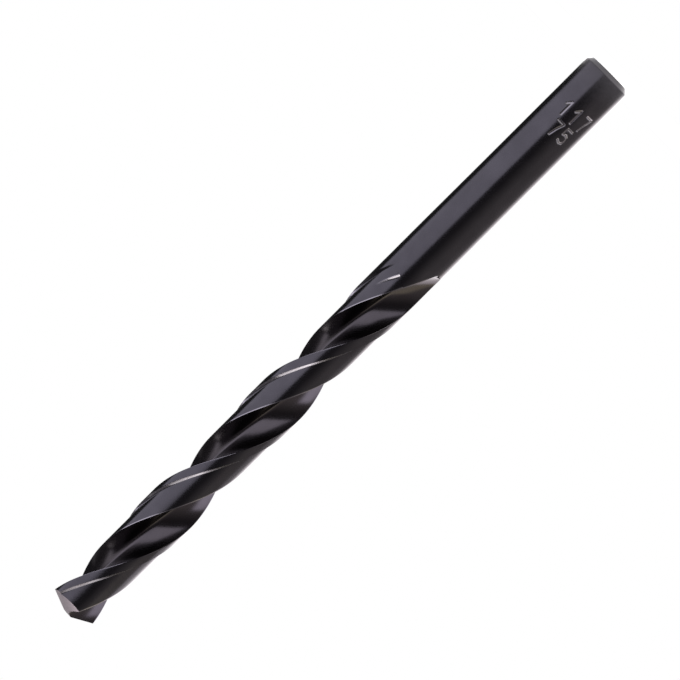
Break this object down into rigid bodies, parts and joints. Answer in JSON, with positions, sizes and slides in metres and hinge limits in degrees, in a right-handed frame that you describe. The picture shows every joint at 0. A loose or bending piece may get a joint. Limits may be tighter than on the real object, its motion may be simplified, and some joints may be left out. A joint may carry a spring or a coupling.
{
  "type": "twist drill bit",
  "caption": "Straight-shank twist drill bit with right-hand helical flutes, relieved lands and a cone-ground point, for drilling metal in a drill chuck.",
  "frame": {"origin": "centre of the shank's end face", "axes": "+Z along the axis of the bit, from the shank's end face to the point; +X along the projection of the first cutting lip"},
  "size_m": [0.0082, 0.0082, 0.117],
  "materials": {
    "dark_steel": "black oxide on ground high-speed steel, semi-gloss"
  },
  "bodies": {
    "root": {"drill_bit": "dark_steel"}
  },
  "joints": []
}
